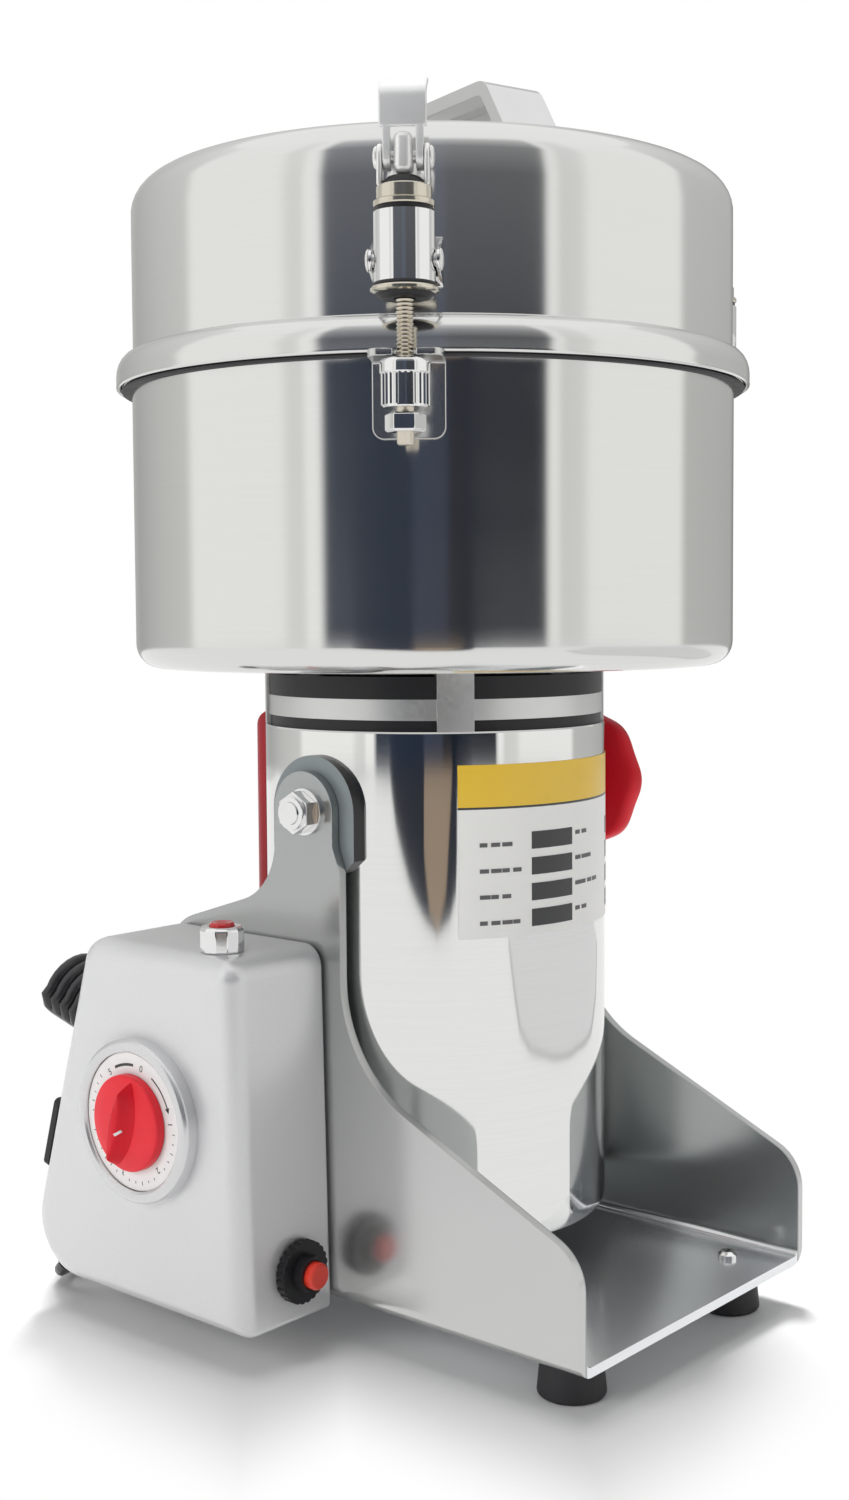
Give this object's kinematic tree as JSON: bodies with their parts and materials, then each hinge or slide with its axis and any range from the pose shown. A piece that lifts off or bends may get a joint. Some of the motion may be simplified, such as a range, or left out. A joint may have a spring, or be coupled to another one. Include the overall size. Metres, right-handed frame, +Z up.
{
  "type": "electric grain mill",
  "caption": "Tipping electric grain mill: polished motor and lidded bowl on toggle latches, in a folded cradle with a timer box.",
  "frame": {"origin": "on the worktop, straight under the middle of the upright mill, which is where its own axis meets the surface the feet stand on", "axes": "+Z up along the mill axis; -Y to the front, the way the bowl tips; -X to the side with the timer box; +X to the locking knob"},
  "size_m": [0.2648, 0.262, 0.452],
  "materials": {
    "base_paint": "glossy grey paint",
    "box_paint": "satin silver paint",
    "pad_paint": "satin grey",
    "polished_steel": "mirror-polished stainless steel",
    "bright_steel": "bright plated",
    "satin_steel": "satin",
    "cast_alu": "machined",
    "dull_iron": "dull laminations",
    "copper": "enamelled copper",
    "black_plastic": "satin black",
    "red_plastic": "glossy red",
    "white_scale": "printed white",
    "lamp_red": "red jewel",
    "rubber": "matte black",
    "cord_pvc": "satin black PVC",
    "seal_white": "silicone"
  },
  "bodies": {
    "base": {"base_frame": "base_paint", "rubber_feet": "rubber", "foot_screws": "bright_steel", "control_box": "box_paint", "box_screws": "satin_steel", "dial_bezel": "box_paint", "dial_scale": "white_scale", "timer_body": "satin_steel", "lamp_bezel": "bright_steel", "lamp_lens": "lamp_red", "breaker_body": "black_plastic", "breaker_nut": "black_plastic", "rocker_frame": "black_plastic", "cord_gland": "black_plastic", "cord_lead": "cord_pvc", "cord_hank": "cord_pvc", "plug": "black_plastic", "plug_pins": "bright_steel"},
    "timer_knob": {"timer_knob": "red_plastic"},
    "reset_button": {"reset_button": "red_plastic"},
    "rocker": {"rocker": "red_plastic"},
    "mill": {"motor_shell": "polished_steel", "end_cap": "cast_alu", "trunnion_pads": "pad_paint", "pivot_studs": "satin_steel", "pivot_washers": "satin_steel", "pivot_nut": "bright_steel", "stator_core": "dull_iron", "field_coils": "copper", "bearings": "bright_steel", "brush_gear": "black_plastic", "neck_bracket": "cast_alu", "neck_ring": "black_plastic", "bowl": "polished_steel", "bowl_screws": "satin_steel", "rear_handle": "red_plastic", "handle_screws": "satin_steel", "catch_brackets": "bright_steel"},
    "lock_knob": {"lock_knob": "red_plastic"},
    "rotor": {"shaft": "satin_steel", "armature": "dull_iron", "armature_coils": "copper", "commutator": "copper", "fan": "cast_alu", "blades": "satin_steel", "blade_nut": "bright_steel"},
    "lid": {"lid": "polished_steel", "lid_seal": "seal_white", "lid_handle": "bright_steel", "handle_rivets": "satin_steel", "latch_brackets": "bright_steel"},
    "latch_a": {"latch_tube_a": "bright_steel"},
    "lever_a": {"latch_lever_a": "bright_steel"},
    "rod_a": {"latch_rod_a": "satin_steel"},
    "latch_b": {"latch_tube_b": "bright_steel"},
    "lever_b": {"latch_lever_b": "bright_steel"},
    "rod_b": {"latch_rod_b": "satin_steel"},
    "latch_c": {"latch_tube_c": "bright_steel"},
    "lever_c": {"latch_lever_c": "bright_steel"},
    "rod_c": {"latch_rod_c": "satin_steel"}
  },
  "joints": [
    {"name": "tilt", "type": "hinge", "parent": "base", "child": "mill", "pos_m": [0, 0, 0.193], "axis": [1, 0, 0], "range_deg": [0, 90]},
    {"name": "rotor_spin", "type": "hinge", "parent": "mill", "child": "rotor", "pos_m": [0, 0, 0.12], "axis": [0, 0, 1], "continuous": true},
    {"name": "lock_knob_turn", "type": "hinge", "parent": "mill", "child": "lock_knob", "pos_m": [0.09, 0, 0.193], "axis": [1, 0, 0], "range_deg": [0, 360]},
    {"name": "lid_lift", "type": "slide", "parent": "mill", "child": "lid", "axis": [0, 0, 1], "range_m": [0, 0.12]},
    {"name": "timer_turn", "type": "hinge", "parent": "base", "child": "timer_knob", "pos_m": [-0.118, 0.038, 0.084], "axis": [1, 0, 0], "range_deg": [0, 300]},
    {"name": "reset_push", "type": "slide", "parent": "base", "child": "reset_button", "axis": [0, 1, 0], "range_m": [0, 0.003], "stiffness_N_per_m": 300},
    {"name": "rocker_flip", "type": "hinge", "parent": "base", "child": "rocker", "pos_m": [-0.103, 0.0944, 0.067], "axis": [-1, 0, 0], "range_deg": [0, 16]},
    {"name": "latch_a_swing", "type": "hinge", "parent": "lid", "child": "latch_a", "pos_m": [-0.10343, -0.07709, 0.3744], "axis": [-0.5976, 0.8018, 0], "range_deg": [0, 12]},
    {"name": "lever_a_flip", "type": "hinge", "parent": "latch_a", "child": "lever_a", "pos_m": [-0.10343, -0.07709, 0.406], "axis": [0.5976, -0.8018, 0], "range_deg": [0, 100]},
    {"name": "rod_a_swing", "type": "hinge", "parent": "mill", "child": "rod_a", "pos_m": [-0.10343, -0.07709, 0.3744], "axis": [-0.5976, 0.8018, 0], "range_deg": [0, 12]},
    {"name": "latch_b_swing", "type": "hinge", "parent": "lid", "child": "latch_b", "pos_m": [-0.01505, 0.12812, 0.3744], "axis": [0.9932, 0.1167, 0], "range_deg": [0, 12]},
    {"name": "lever_b_flip", "type": "hinge", "parent": "latch_b", "child": "lever_b", "pos_m": [-0.01505, 0.12812, 0.406], "axis": [-0.9932, -0.1167, 0], "range_deg": [0, 100]},
    {"name": "rod_b_swing", "type": "hinge", "parent": "mill", "child": "rod_b", "pos_m": [-0.01505, 0.12812, 0.3744], "axis": [0.9932, 0.1167, 0], "range_deg": [0, 12]},
    {"name": "latch_c_swing", "type": "hinge", "parent": "lid", "child": "latch_c", "pos_m": [0.11848, -0.05103, 0.3744], "axis": [-0.3955, -0.9184, 0], "range_deg": [0, 12]},
    {"name": "lever_c_flip", "type": "hinge", "parent": "latch_c", "child": "lever_c", "pos_m": [0.11848, -0.05103, 0.406], "axis": [0.3955, 0.9184, 0], "range_deg": [0, 100]},
    {"name": "rod_c_swing", "type": "hinge", "parent": "mill", "child": "rod_c", "pos_m": [0.11848, -0.05103, 0.3744], "axis": [-0.3955, -0.9184, 0], "range_deg": [0, 12]}
  ],
  "couplings": [
    {"joint": "rod_a_swing", "follows": "latch_a_swing", "ratio": 1},
    {"joint": "rod_b_swing", "follows": "latch_b_swing", "ratio": 1},
    {"joint": "rod_c_swing", "follows": "latch_c_swing", "ratio": 1}
  ]
}
